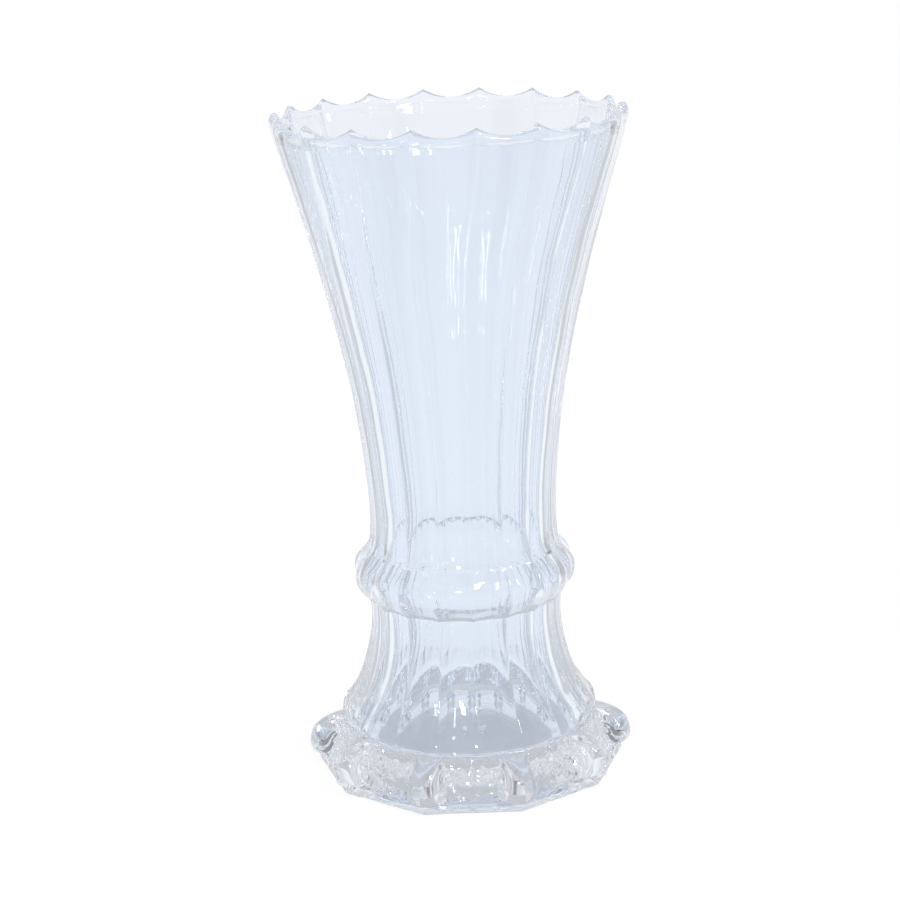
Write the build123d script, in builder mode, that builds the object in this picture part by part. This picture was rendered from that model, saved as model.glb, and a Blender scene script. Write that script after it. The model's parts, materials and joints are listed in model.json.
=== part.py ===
"""A tall round vase of clear pressed glass, flared to a scalloped mouth and standing on a petal foot.

From the table up: a ten-petal foot with a floor closed into it, a fluted bell, a bulged collar,
a fluted bowl that flares like a trumpet, and a scalloped lip. All six are hot glass, fused face to face.
Units are millimetres. The origin is the middle of the standing face, +Z is up and -Y is the front.
"""

import os
from math import asin, cos, degrees, radians, sin

from build123d import *

# Heights of the pieces, stacked from the table up
foot_height = 22.5
bell_height = 55.5
collar_height = 25.0
bowl_height = 187.0
lip_height = 10.0

# Outer radii, measured on the ridges between the flutes
crease_radius = 58.5
bell_low_radius = 49.2
bell_waist_radius = 43.6
collar_foot_radius = 44.0
collar_radius = 50.3
collar_top_radius = 44.6
neck_radius = 42.5
bowl_low_radius = 46.0
bowl_high_radius = 61.2
mouth_radius = 76.7
lip_bulge = 1.2

# The glass: the wall at the hollow of a flute, and the flutes pressed into its outside
wall = 3.2
flute_count = 18
flute_depth = 1.8
scallop_depth = 4.5
peak_land = 2.4

# The foot: a ten-sided plate, and above it a rounded petal over each corner with a flat panel between
petal_count = 10
petal_width = 20.0
plate_height = 5.5

# How far the foot reaches out past the crease
plate_reach = 11.7
petal_base_reach = 11.1
petal_reach = 13.8
petal_shoulder_reach = 12.0
petal_top_reach = 2.6
panel_base_reach = 9.6
panel_top_reach = 0.4

# The floor of the vessel, a disc closed into the foot
floor_inset = 3.5
floor_thickness = 8.0
floor_lift = 3.0
punt_rise = 2.0

# Levels of the seams between the pieces
bell_base = foot_height
collar_base = bell_base + bell_height
bowl_base = collar_base + collar_height
lip_base = bowl_base + bowl_height
vase_height = lip_base + lip_height

# Where the profile turns, as a share of the height of its piece
petal_widest_share = 0.36
petal_shoulder_share = 0.72
bell_waist_share = 0.82
bell_low_share = 0.37
collar_widest_share = 0.58
collar_swell_share = 0.24
collar_shoulder_share = 0.82
neck_share = 0.075
bowl_low_share = 0.32
bowl_high_share = 0.72

flute_angle = 360 / flute_count
petal_angle = 360 / petal_count
skin = flute_depth + wall
floor_radius = crease_radius - skin - floor_inset
floor_top = floor_lift + floor_thickness
collar_swell_radius = (collar_foot_radius + 2 * collar_radius) / 3
collar_shoulder_radius = (collar_top_radius + 3 * collar_radius) / 4

petal_profile = [
    (0, petal_base_reach),
    (petal_widest_share, petal_reach),
    (petal_shoulder_share, petal_shoulder_reach),
    (1, petal_top_reach),
]
bell_profile = [
    (bell_base, crease_radius),
    (bell_base + bell_low_share * bell_height, bell_low_radius),
    (bell_base + bell_waist_share * bell_height, bell_waist_radius),
    (collar_base, collar_foot_radius),
]
collar_profile = [
    (collar_base, collar_foot_radius),
    (collar_base + collar_swell_share * collar_height, collar_swell_radius),
    (collar_base + collar_widest_share * collar_height, collar_radius),
    (collar_base + collar_shoulder_share * collar_height, collar_shoulder_radius),
    (bowl_base, collar_top_radius),
]
bowl_profile = [
    (bowl_base, collar_top_radius),
    (bowl_base + neck_share * bowl_height, neck_radius),
    (bowl_base + bowl_low_share * bowl_height, bowl_low_radius),
    (bowl_base + bowl_high_share * bowl_height, bowl_high_radius),
    (lip_base, mouth_radius),
]
lip_profile = [
    (lip_base, mouth_radius),
    (lip_base + lip_height / 2, mouth_radius + lip_bulge),
    (vase_height, mouth_radius + lip_bulge),
]


def on_circle(radius, angle):
    """The point at an angle, in degrees from +X, on a circle about the axis."""
    return (radius * cos(radians(angle)), radius * sin(radians(angle)))


def flutes(radius):
    """One ring of concave flutes that meet in ridges at the given radius."""
    for index in range(flute_count):
        ridge = index * flute_angle
        ThreePointArc(
            on_circle(radius, ridge),
            on_circle(radius - flute_depth, ridge + flute_angle / 2),
            on_circle(radius, ridge + flute_angle),
        )


def petals(crest, panel):
    """One ring of rounded petals that reach out to the crest radius, joined by flat panels."""
    half_angle = degrees(asin(petal_width / 2 / panel))
    for index in range(petal_count):
        middle = index * petal_angle
        petal_end = on_circle(panel, middle + half_angle)
        ThreePointArc(on_circle(panel, middle - half_angle), on_circle(crest, middle), petal_end)
        Line(petal_end, on_circle(panel, middle + petal_angle - half_angle))


# Petal foot: plate, panels and petals in one gather of glass, hollow for the floor and the vessel
with BuildPart() as petal_foot:
    with BuildSketch():
        RegularPolygon(crease_radius + plate_reach, petal_count)
    extrude(amount=plate_height)
    for share, reach in petal_profile:
        panel_reach = panel_base_reach + share * (panel_top_reach - panel_base_reach)
        with BuildSketch(Plane.XY.offset(share * foot_height)):
            with BuildLine():
                petals(crease_radius + reach, crease_radius + panel_reach)
            make_face()
    loft()
    with BuildSketch():
        Circle(floor_radius)
    extrude(amount=floor_top, mode=Mode.SUBTRACT)
    with BuildSketch(Plane.XY.offset(floor_top)):
        Circle(floor_radius)
    with BuildSketch(Plane.XY.offset(foot_height)):
        Circle(crease_radius - skin)
    loft(mode=Mode.SUBTRACT)

# Vessel floor: a thick disc, flat above and domed up below so that only the foot touches the table
punt_radius = (floor_radius**2 + punt_rise**2) / (2 * punt_rise)

with BuildPart() as vessel_floor:
    with BuildSketch(Plane.XY.offset(floor_lift)):
        Circle(floor_radius)
    extrude(amount=floor_thickness)
    with Locations((0, 0, floor_lift + punt_rise - punt_radius)):
        Sphere(punt_radius, mode=Mode.SUBTRACT)

# Bell stem: the fluted lower body, which spreads to the crease above the petals
with BuildPart() as bell_stem:
    for height, radius in bell_profile:
        with BuildSketch(Plane.XY.offset(height)):
            with BuildLine():
                flutes(radius)
            make_face()
    loft()
    for height, radius in bell_profile:
        with BuildSketch(Plane.XY.offset(height)):
            Circle(radius - skin)
    loft(mode=Mode.SUBTRACT)

# Collar ring: the bulged knop between bell and bowl, blown hollow and fluted like the bell
with BuildPart() as collar_ring:
    for height, radius in collar_profile:
        with BuildSketch(Plane.XY.offset(height)):
            with BuildLine():
                flutes(radius)
            make_face()
    loft()
    for height, radius in collar_profile:
        with BuildSketch(Plane.XY.offset(height)):
            Circle(radius - skin)
    loft(mode=Mode.SUBTRACT)

# Flared bowl: the tall trumpet from the neck to the mouth, its flutes in line with the bell's
with BuildPart() as flared_bowl:
    for height, radius in bowl_profile:
        with BuildSketch(Plane.XY.offset(height)):
            with BuildLine():
                flutes(radius)
            make_face()
    loft()
    for height, radius in bowl_profile:
        with BuildSketch(Plane.XY.offset(height)):
            Circle(radius - skin)
    loft(mode=Mode.SUBTRACT)

# Rim lip: a thickened edge, scalloped down between the ridges so that each ridge ends in a peak
scallop_chord = (mouth_radius + lip_bulge) * sin(radians(flute_angle / 2)) - peak_land / 2
scallop_radius = (scallop_chord**2 + scallop_depth**2) / (2 * scallop_depth)

with BuildPart() as rim_lip:
    for height, radius in lip_profile:
        with BuildSketch(Plane.XY.offset(height)):
            with BuildLine():
                flutes(radius)
            make_face()
    loft()
    for height, radius in lip_profile:
        with BuildSketch(Plane.XY.offset(height)):
            Circle(2 * mouth_radius - skin - radius)
    loft(mode=Mode.SUBTRACT)
    with Locations((0, 0, vase_height - scallop_depth + scallop_radius)):
        with PolarLocations(mouth_radius, flute_count, start_angle=flute_angle / 2):
            Cylinder(scallop_radius, mouth_radius, rotation=(0, 90, 0), mode=Mode.SUBTRACT)

pieces = {
    "petal_foot": petal_foot,
    "vessel_floor": vessel_floor,
    "bell_stem": bell_stem,
    "collar_ring": collar_ring,
    "flared_bowl": flared_bowl,
    "rim_lip": rim_lip,
}

os.makedirs("parts", exist_ok=True)
for name, piece in pieces.items():
    piece.part.label = name
    export_step(piece.part, f"parts/{name}.step")
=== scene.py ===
import json
import math
import bmesh
import bpy
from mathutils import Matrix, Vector

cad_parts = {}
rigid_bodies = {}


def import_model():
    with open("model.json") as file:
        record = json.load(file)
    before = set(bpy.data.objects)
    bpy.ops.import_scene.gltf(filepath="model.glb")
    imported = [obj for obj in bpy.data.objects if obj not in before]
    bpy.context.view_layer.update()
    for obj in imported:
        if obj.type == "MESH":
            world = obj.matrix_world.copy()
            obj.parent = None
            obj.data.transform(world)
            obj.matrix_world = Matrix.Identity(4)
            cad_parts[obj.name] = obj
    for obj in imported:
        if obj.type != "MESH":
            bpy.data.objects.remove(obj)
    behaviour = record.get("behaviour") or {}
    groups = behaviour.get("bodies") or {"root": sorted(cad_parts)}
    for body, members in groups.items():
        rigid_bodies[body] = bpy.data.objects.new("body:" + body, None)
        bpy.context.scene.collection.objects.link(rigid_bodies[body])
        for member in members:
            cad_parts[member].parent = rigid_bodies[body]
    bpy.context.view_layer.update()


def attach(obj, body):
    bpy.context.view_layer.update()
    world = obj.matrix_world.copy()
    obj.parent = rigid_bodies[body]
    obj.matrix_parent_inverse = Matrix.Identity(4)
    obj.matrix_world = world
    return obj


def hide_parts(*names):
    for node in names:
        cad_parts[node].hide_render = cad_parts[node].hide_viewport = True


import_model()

# Petal foot
# The heavy base of the vase: a ten-sided plate with a full round petal over each corner and a sloped panel
# between petals. It is pressed from clear soda-lime glass in one gather and fire-polished.
MM = 0.001
petal_count = 10
petal_angle = 0
flute_count = 18
flute_depth = 1.7
body_angle = -86
foot_top = 22.5
crease_radius = 57.6
crease_flute = 0.85
crease_bore = 52.6
plate_corner = 70.2
plate_edge = 5.5
floor_radius = 51.0
floor_low = 2.0
floor_edge = 16.5
stipple_depth = 1.1
stipple_grain = 2.6
panel_start = 10.5
panel_widening = 4.0


def linear(hex_colour):
    """Turns an sRGB hex colour into the linear colour that shaders take."""
    channels = [int(hex_colour[i:i + 2], 16) / 255 for i in (1, 3, 5)]
    return tuple(c / 12.92 if c <= 0.04045 else ((c + 0.055) / 1.055) ** 2.4 for c in channels) + (1.0,)


def add_node(tree, kind, settings=None, values=None, links=None):
    """Adds one node with its settings, its plain socket values and what is linked into it."""
    node = tree.nodes.new(kind)
    for name, value in (settings or {}).items():
        setattr(node, name, value)
    for name, value in (values or {}).items():
        node.inputs[name].default_value = value
    for name, socket in (links or {}).items():
        tree.links.new(socket, node.inputs[name])
    return node


# Clear pressed soda-lime glass: fire-polished, so fully smooth, with a faint cool cast from the batch that
# turns the view through two walls a pale blue-grey. The mould leaves shallow waves in the skin, about 14 mm
# across, and chill ripples about 3 mm across, which make reflections waver.
glass = bpy.data.materials.new("clear_pressed_soda_lime_glass")
glass.use_nodes = True
tree = glass.node_tree
tree.nodes.clear()
place = add_node(tree, "ShaderNodeTexCoord")
waves = add_node(tree, "ShaderNodeTexNoise", values={"Scale": 1 / (14 * MM), "Detail": 1.0},
                 links={"Vector": place.outputs["Object"]})
ripples = add_node(tree, "ShaderNodeTexNoise", values={"Scale": 1 / (3 * MM), "Detail": 2.0},
                   links={"Vector": place.outputs["Object"]})
wave_bump = add_node(tree, "ShaderNodeBump", values={"Strength": 0.08, "Distance": 0.25 * MM},
                     links={"Height": waves.outputs["Fac"]})
skin_bump = add_node(tree, "ShaderNodeBump", values={"Strength": 0.05, "Distance": 0.05 * MM},
                     links={"Height": ripples.outputs["Fac"], "Normal": wave_bump.outputs["Normal"]})
glass_shader = add_node(tree, "ShaderNodeBsdfPrincipled",
                        values={"Base Color": linear("#EFF4FB"), "Transmission Weight": 1.0, "IOR": 1.52,
                                "Roughness": 0.0},
                        links={"Normal": skin_bump.outputs["Normal"]})
add_node(tree, "ShaderNodeOutputMaterial", links={"Surface": glass_shader.outputs["BSDF"]})

# Fused seam: where two gathers met hot, the glass runs on with no skin between them, so nothing shows.
seam = bpy.data.materials.new("fused_glass_seam")
seam.use_nodes = True
tree = seam.node_tree
tree.nodes.clear()
seam_shader = add_node(tree, "ShaderNodeBsdfTransparent")
add_node(tree, "ShaderNodeOutputMaterial", links={"Surface": seam_shader.outputs["BSDF"]})

# A pressed wall is never quite true. Two slow clouds push every piece a little sideways, and as they are the
# same for all pieces, the fused seams still meet.
pressing_waviness = 0.6
pressing_clouds = {}
for axis, grain in [("X", 21), ("Y", 17)]:
    pressing_clouds[axis] = bpy.data.textures.new("pressing_cloud_" + axis, "CLOUDS")
    pressing_clouds[axis].noise_scale = grain * MM
    pressing_clouds[axis].noise_depth = 1


def choose(indices):
    """Selects these points of the mesh in edit mode, and nothing else."""
    bpy.ops.mesh.select_all(action="DESELECT")
    mesh = bmesh.from_edit_mesh(bpy.context.edit_object.data)
    mesh.verts.ensure_lookup_table()
    for index in indices:
        mesh.verts[index].select_set(True)
    mesh.select_flush(True)


def draw_ring(repeats, first, factors):
    """Draws the selected ring in or out, by one factor for each degree away from the nearest crest."""
    if max(factors) - min(factors) < 1e-6:
        bpy.ops.transform.resize(value=(factors[0], factors[0], 1), center_override=(0, 0, 0))
        return
    mesh = bmesh.from_edit_mesh(bpy.context.edit_object.data)
    mesh.verts.ensure_lookup_table()
    ring = [point.index for point in mesh.verts if point.select]
    period = 360 / repeats
    degrees = {}
    for index in ring:
        point = mesh.verts[index].co
        turn = (math.degrees(math.atan2(point.y, point.x)) - first) % period
        degrees.setdefault(round(min(turn, period - turn)), []).append(index)
    for degree, members in degrees.items():
        choose(members)
        bpy.ops.transform.resize(value=(factors[degree], factors[degree], 1), center_override=(0, 0, 0))
    choose(ring)


def start_shell(name, ring):
    """Opens a shell with one ring of points about the axis, a degree apart."""
    height, repeats, first, radii = ring
    bpy.ops.object.select_all(action="DESELECT")
    bpy.ops.mesh.primitive_circle_add(vertices=360, radius=radii[0] * MM)
    shell = bpy.context.object
    shell.name = name
    bpy.ops.object.mode_set(mode="EDIT")
    bpy.ops.mesh.select_mode(type="VERT")
    bpy.ops.transform.translate(value=(0, 0, height * MM))
    draw_ring(repeats, first, [radius / radii[0] for radius in radii])
    return shell


def pull_shell(rings):
    """Extrudes the open ring along a list of rings, the first of which is where it is now."""
    for (low, repeats, first, radii), (high, new_repeats, new_first, new_radii) in zip(rings, rings[1:]):
        bpy.ops.mesh.extrude_region_move(TRANSFORM_OT_translate={"value": (0, 0, (high - low) * MM)})
        if repeats == new_repeats:
            if first != new_first:
                bpy.ops.transform.rotate(value=math.radians(first - new_first), orient_axis="Z",
                                         center_override=(0, 0, 0))
            draw_ring(repeats, new_first, [new / old for old, new in zip(radii, new_radii)])
        else:
            draw_ring(repeats, first, [radii[0] / old for old in radii])
            draw_ring(new_repeats, new_first, [new / radii[0] for new in new_radii])


def close_shell(shell, seams, edge_angle=55):
    """Merges the shell's joint, turns its faces outwards, marks its fused seams and makes the wall waver."""
    bpy.ops.mesh.select_all(action="SELECT")
    bpy.ops.mesh.remove_doubles(threshold=0.00001)
    bpy.ops.mesh.normals_make_consistent(inside=False)
    bpy.ops.mesh.select_all(action="DESELECT")
    shell.data.materials.append(glass)
    shell.data.materials.append(seam)
    bpy.ops.mesh.select_mode(type="FACE")
    mesh = bmesh.from_edit_mesh(shell.data)
    for face in mesh.faces:
        face.select_set(any(test(face) for test in seams))
    shell.active_material_index = 1
    bpy.ops.object.material_slot_assign()
    bpy.ops.mesh.region_to_loop()
    bpy.ops.mesh.mark_sharp()
    bpy.ops.object.mode_set(mode="OBJECT")
    for axis, cloud in pressing_clouds.items():
        wave = shell.modifiers.new("wave_" + axis, "DISPLACE")
        wave.texture = cloud
        wave.texture_coords = "LOCAL"
        wave.direction = axis
        wave.strength = pressing_waviness * MM
        bpy.ops.object.modifier_apply(modifier=wave.name)
    bpy.ops.object.shade_smooth_by_angle(angle=math.radians(edge_angle))


def level_seam(height, radius=200.0):
    """The test for the faces of a level seam at this height, no further out than the radius."""
    return lambda face: (abs(face.normal.z) > 0.9 and abs(face.calc_center_median().z - height * MM) < 0.0003
                         and face.calc_center_median().xy.length < radius * MM)


def upright_seam(radius, low, high):
    """The test for the faces of a round upright seam between two heights."""
    return lambda face: (abs(face.normal.z) < 0.1 and low * MM < face.calc_center_median().z < high * MM
                         and face.calc_center_median().xy.length < (radius + 0.3) * MM)


def plate_ring(height, corner):
    """A ring of the ten-sided plate, a straight run from corner to corner."""
    half = math.pi / petal_count
    radii = [corner * math.cos(half) / math.cos(half - math.radians(degree)) for degree in range(19)]
    return height, petal_count, petal_angle, radii


def petal_ring(height, crest, panel, half_width):
    """A ring of round petals, each as wide as given, with a flat panel between two of them."""
    edge = math.degrees(math.asin(half_width / panel))
    radii = []
    for degree in range(19):
        flat = panel * math.cos(math.radians(18 - edge)) / math.cos(math.radians(18 - degree))
        swell = math.sqrt(1 - (degree / edge) ** 2) if degree < edge else 0.0
        radii.append(max(flat, panel) + (crest - panel) * swell if degree < edge else flat)
    return height, petal_count, petal_angle, radii


def round_ring(height, radius, first=petal_angle, repeats=petal_count):
    """A plain round ring, numbered like its neighbours."""
    return height, repeats, first, [radius] * (180 // repeats + 1)


def fluted_ring(height, radius, first=body_angle, depth=flute_depth):
    """A ring of hollow flutes that meet in ridges at the radius."""
    radii = [radius - depth * (1 - (1 - degree / 10) ** 2) for degree in range(11)]
    return height, flute_count, first, radii


foot_rings = [plate_ring(0.0, plate_corner - 0.6), plate_ring(0.7, plate_corner),
              plate_ring(4.7, plate_corner), plate_ring(plate_edge, plate_corner - 0.7)]
foot_rings += [petal_ring(*section) for section in [
    (plate_edge, 71.6, 66.4, 8.8), (6.8, 72.0, 65.8, 8.7), (8.4, 72.2, 65.0, 8.5), (10.4, 72.2, 64.0, 8.2),
    (12.4, 71.9, 63.0, 7.9), (14.4, 71.4, 62.0, 7.5), (16.4, 70.4, 61.1, 7.1), (18.0, 69.1, 60.4, 6.7),
    (19.4, 67.4, 59.8, 6.3), (20.5, 65.5, 59.3, 5.9), (21.4, 63.4, 58.9, 5.5), (22.0, 61.0, 58.5, 5.1),
]]
foot_rings += [
    fluted_ring(foot_top, crease_radius, body_angle, crease_flute),
    round_ring(foot_top, crease_bore, body_angle, flute_count),
    round_ring(19.5, 52.2, body_angle, flute_count),
    round_ring(floor_edge, floor_radius, body_angle, flute_count),
    round_ring(floor_low, floor_radius, body_angle, flute_count),
    round_ring(0.0, floor_radius),
    plate_ring(0.0, plate_corner - 0.6),
]
foot = start_shell("foot_of_petals", foot_rings[0])
pull_shell(foot_rings)

# The mould is rough between the petals, so the panels are cut finer and stippled in grains of a few
# millimetres.
bpy.ops.mesh.select_mode(type="FACE")
bpy.ops.mesh.select_all(action="DESELECT")
mesh = bmesh.from_edit_mesh(foot.data)
petal_step = 360 / petal_count
for face in mesh.faces:
    middle = face.calc_center_median()
    turn = (math.degrees(math.atan2(middle.y, middle.x)) - petal_angle) % petal_step
    share = (middle.z / MM - plate_edge) / (foot_top - plate_edge)
    between = min(turn, petal_step - turn) > panel_start - panel_widening * share
    upright = plate_edge * MM < middle.z < (foot_top - 0.3) * MM
    face.select_set(between and upright and middle.xy.length > floor_radius * MM + 0.004)
bpy.ops.mesh.subdivide(number_cuts=1)
bpy.ops.mesh.select_less()
bpy.ops.object.vertex_group_add()
bpy.ops.object.vertex_group_assign()
bpy.ops.mesh.select_mode(type="VERT")
close_shell(foot, [level_seam(foot_top, crease_radius - 1.1),
                   upright_seam(floor_radius, floor_low, floor_edge)], edge_angle=30)
stipple = bpy.data.textures.new("panel_stipple", "CLOUDS")
stipple.noise_scale = stipple_grain * MM
stipple.noise_depth = 1
hammer = foot.modifiers.new("hammer", "DISPLACE")
hammer.texture = stipple
hammer.texture_coords = "LOCAL"
hammer.vertex_group = foot.vertex_groups[0].name
hammer.strength = stipple_depth * MM
bpy.ops.object.modifier_apply(modifier=hammer.name)
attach(foot, "root")
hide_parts("petal_foot")

# Vessel floor
# The thick disc that closes the vessel. It is dropped into the foot while hot and pushed up from below,
# so that its underside is a shallow dome and only the foot touches the table.
punt_rise = 1.6
floor_middle = 8.0
disc_steps = 24
disc_rings = [round_ring(floor_low, floor_radius), round_ring(floor_edge, floor_radius)]
for step in range(1, disc_steps):
    share = 1 - step / disc_steps
    disc_rings.append(round_ring(floor_middle + (floor_edge - floor_middle) * share ** 8, floor_radius * share))
for step in range(1, disc_steps + 1):
    share = step / disc_steps
    disc_rings.append(round_ring(floor_low + punt_rise * (1 - share ** 2), floor_radius * share))
disc = start_shell("floor_disc", disc_rings[0])
pull_shell(disc_rings)
close_shell(disc, [lambda face: (abs(face.normal.z) < 0.1
                                 and face.calc_center_median().xy.length > (floor_radius - 2) * MM)])
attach(disc, "root")
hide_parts("vessel_floor")

# Bell stem
# The hollow lower body, drawn in from the crease above the petals to a waist under the collar. Its
# eighteen flutes were pressed by the mould, and its inside is smooth.
bell_top = 78.0
waist_radius = 43.8
waist_bore = 38.2
flute_fade = 14.0


def smooth_profile(points, pitch):
    """Heights and radii along a smooth curve through the points of a profile, about one pitch apart."""
    fine = []
    for i in range(len(points) - 1):
        a, b = points[i], points[i + 1]
        before = points[i - 1] if i else (2 * a[0] - b[0], 2 * a[1] - b[1])
        after = points[i + 2] if i + 2 < len(points) else (2 * b[0] - a[0], 2 * b[1] - a[1])
        rise_a = (b[1] - before[1]) / (b[0] - before[0]) * (b[0] - a[0])
        rise_b = (after[1] - a[1]) / (after[0] - a[0]) * (b[0] - a[0])
        count = max(1, round(math.hypot(b[0] - a[0], b[1] - a[1]) / pitch))
        for k in range(count):
            t = k / count
            radius = (a[1] * (2 * t ** 3 - 3 * t ** 2 + 1) + rise_a * (t ** 3 - 2 * t ** 2 + t)
                      + b[1] * (3 * t ** 2 - 2 * t ** 3) + rise_b * (t ** 3 - t ** 2))
            fine.append((a[0] + t * (b[0] - a[0]), radius))
    return fine + [points[-1]]


def fluted_shell(name, outside, inside, pitch, turn=lambda height: body_angle,
                 depth=lambda height: flute_depth):
    """A shell with flutes outside and a smooth inside, from its lower seam to its upper one."""
    rings = [fluted_ring(height, radius, turn(height), depth(height))
             for height, radius in smooth_profile(outside, pitch)]
    rings += [round_ring(height, radius, turn(height), flute_count)
              for height, radius in reversed(smooth_profile(inside, pitch))]
    rings.append(rings[0])
    shell = start_shell(name, rings[0])
    pull_shell(rings)
    close_shell(shell, [level_seam(outside[0][0]), level_seam(outside[-1][0])])
    return shell


def bell_flute(height):
    """The depth of the flutes, which get shallower towards the crease."""
    share = min(1.0, (height - foot_top) / flute_fade)
    return crease_flute + (flute_depth - crease_flute) * share


bell = fluted_shell("bell", [
    (foot_top, crease_radius), (23.1, 58.3), (23.9, 58.6), (25.2, 58.5), (27.0, 58.0), (32.0, 55.0),
    (38.0, 51.2), (44.0, 48.6), (50.0, 46.7), (57.0, 45.1), (65.0, 43.9), (72.0, 43.5),
    (bell_top, waist_radius),
], [
    (foot_top, crease_bore), (27.0, 51.2), (32.0, 48.6), (38.0, 45.6), (44.0, 43.3), (50.0, 41.5), (57.0, 39.9),
    (65.0, 38.7), (72.0, 38.2), (bell_top, waist_bore),
], 1.8, depth=bell_flute)
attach(bell, "root")
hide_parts("bell_stem")

# Collar ring
# The bulged knop between bell and bowl, where the two gathers were joined. It is blown hollow, with a sharp
# ledge inside at its foot, and the flutes run on over it.
collar_top = 103.0
neck_radius = 44.4
neck_bore = 40.9
collar = fluted_shell("collar", [
    (bell_top, waist_radius), (80.2, 44.0), (81.6, 44.9), (84.0, 47.2), (87.0, 49.1), (90.0, 50.1),
    (93.0, 50.3), (96.0, 49.9), (99.0, 48.2), (101.0, 46.4), (collar_top, neck_radius),
], [
    (bell_top, waist_bore), (80.6, 38.4), (81.7, 40.0), (83.2, 42.2), (85.4, 44.2), (88.5, 46.2),
    (91.5, 46.9), (94.5, 46.2), (98.0, 44.2), (101.0, 42.2), (collar_top, neck_bore),
], 0.9)
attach(collar, "root")
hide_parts("collar_ring")

# Flared bowl
# The tall body of the vase, blown into the fluted mould and opened out to the mouth while hot, which gave
# its flutes a slight turn near the top.
lip_base = 290.0
mouth_radius = 76.5
mouth_bore = 72.0
mouth_turn = 4.5
turn_start = 225.0


def bowl_turn(height):
    """The angle of the ridges, which stays as on the body and then turns towards the mouth."""
    share = max(0.0, (height - turn_start) / (lip_base - turn_start))
    return body_angle + mouth_turn * share ** 2 * (3 - 2 * share)


bowl = fluted_shell("bowl", [
    (collar_top, neck_radius), (105.0, 43.2), (108.0, 42.7), (113.0, 42.4), (120.0, 42.4), (130.0, 42.7),
    (145.0, 43.8), (163.0, 45.9), (180.0, 48.4), (200.0, 52.4), (220.0, 56.9), (240.0, 62.0), (260.0, 67.6),
    (280.0, 73.7), (lip_base, mouth_radius),
], [
    (collar_top, neck_bore), (106.0, 39.4), (110.0, 38.4), (116.0, 37.9), (130.0, 38.2), (145.0, 39.3),
    (163.0, 41.4), (180.0, 43.9), (200.0, 47.9), (220.0, 52.4), (240.0, 57.5), (260.0, 63.1), (280.0, 69.2),
    (lip_base, mouth_bore),
], 4.0, bowl_turn)
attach(bowl, "root")
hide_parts("flared_bowl")

# Rim lip
# The thick mouth, cut back between the ridges while hot, so that each ridge ends in a peak, and then
# fire-polished until its edge was round.
scallop_depth = 3.8
bead_base = 293.0
bead_height = 7.0
mouth_angle = body_angle + mouth_turn
edge_middle = 75.0
edge_half = 2.7
edge_base = 296.0
edge_steps = 12
edge_height = 4.0
lip_section = [(lip_base, mouth_radius), (291.5, 76.9), (bead_base, 77.2), (293.8, 77.45), (294.8, 77.65)]
for step in range(edge_steps + 1):
    sweep = math.pi * step / edge_steps
    lip_section.append((edge_base + edge_height * math.sin(sweep), edge_middle + edge_half * math.cos(sweep)))
lip_section += [(294.0, 72.2), (292.0, 72.2), (lip_base, mouth_bore)]
lip_rings = []
for height, radius in lip_section:
    depth = flute_depth * max(0.0, min(1.0, (radius - edge_middle + edge_half) / 4.2))
    lip_rings.append(fluted_ring(height, radius, mouth_angle, depth))
lip_rings.append(lip_rings[0])
lip = start_shell("scalloped_lip", round_ring(lip_base, mouth_radius, body_angle, flute_count))
bpy.ops.transform.rotate(value=-math.radians(mouth_turn), orient_axis="Z", center_override=(0, 0, 0))
draw_ring(flute_count, mouth_angle, [radius / mouth_radius for radius in lip_rings[0][3]])
pull_shell(lip_rings)
mesh = bmesh.from_edit_mesh(lip.data)
mesh.verts.ensure_lookup_table()
flute_step = 360 / flute_count
degrees = {}
for point in [point for point in mesh.verts if point.co.z > bead_base * MM]:
    turn = (math.degrees(math.atan2(point.co.y, point.co.x)) - mouth_angle) % flute_step
    degrees.setdefault(round(min(turn, flute_step - turn)), []).append(point.index)
for degree, members in degrees.items():
    drop = scallop_depth * (1 - (1 - degree / 10) ** 2)
    choose(members)
    bpy.ops.transform.resize(value=(1, 1, 1 - drop / bead_height), center_override=(0, 0, bead_base * MM))
close_shell(lip, [level_seam(lip_base)])
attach(lip, "root")
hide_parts("rim_lip")

# Table and room
# A wide white table in a white studio. In the glass the table has painted shade under the foot and painted grey
# shade towards the four corners of the room, where the room's light is greyer too, as if by the cards that are
# put beside glass to draw its edges. To the camera it is white.
table_radius = 12
shade_tone = 0.62
shade_start = 0.045
shade_end = 0.13
corner_shade_start = 0.42
corner_shade_full = 0.48
corner_shade_depth = 0.4
white_share = 0.85
white_strength = 1.06
bpy.ops.object.select_all(action="DESELECT")
bpy.ops.mesh.primitive_circle_add(vertices=96, radius=table_radius, fill_type="NGON",
                                  location=(0, 0, -0.0002))
table = bpy.context.object
table.name = "table_top"
table_finish = bpy.data.materials.new("white_laminate")
table_finish.use_nodes = True
tree = table_finish.node_tree
tree.nodes.clear()
place = add_node(tree, "ShaderNodeTexCoord")
away = add_node(tree, "ShaderNodeVectorMath", {"operation": "LENGTH"}, links={0: place.outputs["Object"]})
bearing = add_node(tree, "ShaderNodeVectorMath", {"operation": "NORMALIZE"},
                   links={0: place.outputs["Object"]})
split = add_node(tree, "ShaderNodeSeparateXYZ", links={"Vector": bearing.outputs["Vector"]})
product = add_node(tree, "ShaderNodeMath", {"operation": "MULTIPLY"},
                   links={0: split.outputs["X"], 1: split.outputs["Y"]})
corner = add_node(tree, "ShaderNodeMath", {"operation": "ABSOLUTE"}, links={0: product.outputs["Value"]})
# Painted shade: in the glass the table's glow is greyer towards the four corners of the room, in place of cards.
corner_shade = add_node(tree, "ShaderNodeMapRange", {"interpolation_type": "SMOOTHSTEP"},
                {"From Min": corner_shade_start, "From Max": corner_shade_full}, {"Value": corner.outputs["Value"]})
fade = add_node(tree, "ShaderNodeMapRange", values={"From Min": 0.075, "From Max": 0.2},
                links={"Value": away.outputs["Value"]})
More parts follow.
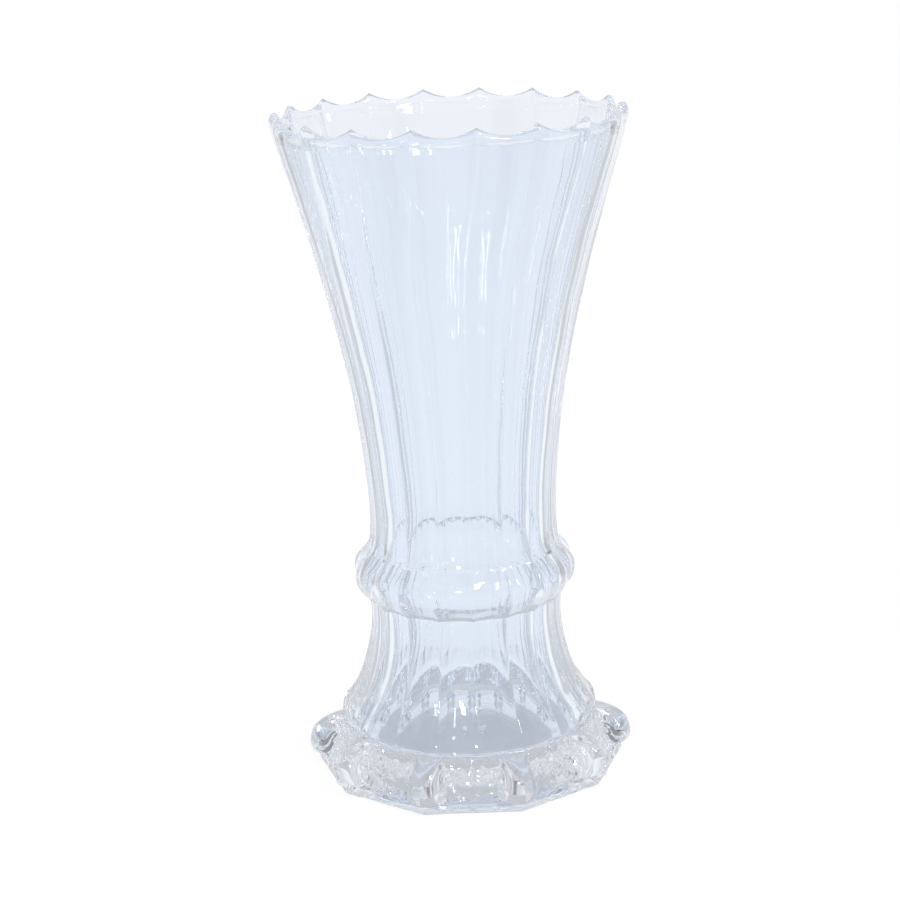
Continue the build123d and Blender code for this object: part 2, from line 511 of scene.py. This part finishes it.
# Painted shade: in the glass the table's glow is darker under and just around the foot.
shade = add_node(tree, "ShaderNodeMapRange", {"interpolation_type": "SMOOTHSTEP"},
                 {"From Min": shade_start, "From Max": shade_end, "To Min": shade_tone, "To Max": 1.0},
                 {"Value": away.outputs["Value"]})
dark = add_node(tree, "ShaderNodeMath", {"operation": "MULTIPLY"},
                links={0: corner_shade.outputs["Result"], 1: fade.outputs["Result"]})
tone = add_node(tree, "ShaderNodeMath", {"operation": "MULTIPLY_ADD"}, {1: -corner_shade_depth},
                {0: dark.outputs["Value"], 2: shade.outputs["Result"]})
path = add_node(tree, "ShaderNodeLightPath")
white = add_node(tree, "ShaderNodeMath", {"operation": "MAXIMUM"},
                 links={0: path.outputs["Is Camera Ray"], 1: tone.outputs["Value"]})
strength = add_node(tree, "ShaderNodeMath", {"operation": "MULTIPLY"}, {1: white_strength},
                    {0: white.outputs["Value"]})
glow = add_node(tree, "ShaderNodeEmission", values={"Color": (1, 1, 1, 1)},
                links={"Strength": strength.outputs["Value"]})
matt = add_node(tree, "ShaderNodeBsdfDiffuse", values={"Color": linear("#F4F5F7")})
direct = add_node(tree, "ShaderNodeMath", {"operation": "ADD", "use_clamp": True},
                  links={0: path.outputs["Is Camera Ray"], 1: path.outputs["Is Glossy Ray"]})
seen = add_node(tree, "ShaderNodeMath", {"operation": "ADD", "use_clamp": True},
                links={0: direct.outputs["Value"], 1: path.outputs["Is Transmission Ray"]})
share = add_node(tree, "ShaderNodeMath", {"operation": "MULTIPLY"}, {1: white_share},
                 {0: seen.outputs["Value"]})
surface = add_node(tree, "ShaderNodeMixShader",
                   links={"Fac": share.outputs["Value"], 1: matt.outputs["BSDF"], 2: glow.outputs["Emission"]})
add_node(tree, "ShaderNodeOutputMaterial", links={"Surface": surface.outputs["Shader"]})
table.data.materials.append(table_finish)

room = bpy.data.worlds.new("white_studio")
bpy.context.scene.world = room
room.use_nodes = True
tree = room.node_tree
tree.nodes.clear()
direction = add_node(tree, "ShaderNodeTexCoord")
level = add_node(tree, "ShaderNodeVectorMath", {"operation": "MULTIPLY"}, {1: (1, 1, 0)},
                 {0: direction.outputs["Generated"]})
bearing = add_node(tree, "ShaderNodeVectorMath", {"operation": "NORMALIZE"},
                   links={0: level.outputs["Vector"]})
split = add_node(tree, "ShaderNodeSeparateXYZ", links={"Vector": bearing.outputs["Vector"]})
product = add_node(tree, "ShaderNodeMath", {"operation": "MULTIPLY"},
                   links={0: split.outputs["X"], 1: split.outputs["Y"]})
corner = add_node(tree, "ShaderNodeMath", {"operation": "ABSOLUTE"}, links={0: product.outputs["Value"]})
corner_shade = add_node(tree, "ShaderNodeMapRange", {"interpolation_type": "SMOOTHSTEP"},
                {"From Min": corner_shade_start, "From Max": corner_shade_full, "To Max": corner_shade_depth},
                {"Value": corner.outputs["Value"]})
height = add_node(tree, "ShaderNodeSeparateXYZ", links={"Vector": direction.outputs["Generated"]})
sky = add_node(tree, "ShaderNodeValToRGB", links={"Fac": height.outputs["Z"]})
sky_tones = [(0.0, 1.0), (0.16, 0.95), (0.3, 0.7), (0.48, 0.7), (0.7, 1.0), (1.0, 0.75)]
for rise, grey in sky_tones[1:-1]:
    sky.color_ramp.elements.new(rise)
for stop, (rise, grey) in zip(sky.color_ramp.elements, sky_tones):
    stop.position = rise
    stop.color = (grey, grey, grey, 1.0)
tone = add_node(tree, "ShaderNodeMath", {"operation": "SUBTRACT"},
                links={0: sky.outputs["Color"], 1: corner_shade.outputs["Result"]})
path = add_node(tree, "ShaderNodeLightPath")
white = add_node(tree, "ShaderNodeMath", {"operation": "MAXIMUM"},
                 links={0: path.outputs["Is Camera Ray"], 1: tone.outputs["Value"]})
walls = add_node(tree, "ShaderNodeBackground", values={"Color": (1, 1, 1, 1)},
                 links={"Strength": white.outputs["Value"]})
add_node(tree, "ShaderNodeOutputWorld", links={"Surface": walls.outputs["Background"]})

# Studio lamps
# Two small soft boxes in front, one low on the left and one higher on the right. The glass shows each of them
# as a bright patch on its near and far walls.
lamp_aim = Vector((0, 0, 0.12))
for name, spot, size, power in [("soft_box_left", (-0.62, -1.7, 0.75), (0.16, 0.3), 6),
                                ("soft_box_right", (0.75, -0.6, 1.0), (0.15, 0.5), 5)]:
    lamp = bpy.data.lights.new(name, "AREA")
    lamp.shape = "RECTANGLE"
    lamp.size, lamp.size_y = size
    lamp.energy = power
    holder = bpy.data.objects.new(name, lamp)
    bpy.context.scene.collection.objects.link(holder)
    holder.location = spot
    holder.rotation_euler = (lamp_aim - holder.location).to_track_quat("-Z", "Y").to_euler()

# Camera
# At the photograph's viewing angle: in front, above the mouth and looking down, held a little askew.
camera_data = bpy.data.cameras.new("camera")
camera_data.sensor_width = 36
camera_data.lens = 86.94
camera_data.clip_start = 0.01
camera = bpy.data.objects.new("camera", camera_data)
bpy.context.scene.collection.objects.link(camera)
camera.location = (0, -0.940, 0.409)
aim = Vector((-0.0045, 0.0018, 0.1464))
camera.rotation_euler = (aim - camera.location).to_track_quat("-Z", "Y").to_euler()
camera.rotation_euler.rotate_axis("Z", -0.0376)
bpy.context.scene.camera = camera

# Light runs far inside a glass wall before it leaves at the lip, so its path may be long.
bpy.context.scene.view_settings.view_transform = "Standard"
bpy.context.scene.cycles.max_bounces = 128
bpy.context.scene.cycles.glossy_bounces = 128
bpy.context.scene.cycles.transmission_bounces = 128
bpy.context.scene.cycles.transparent_max_bounces = 64
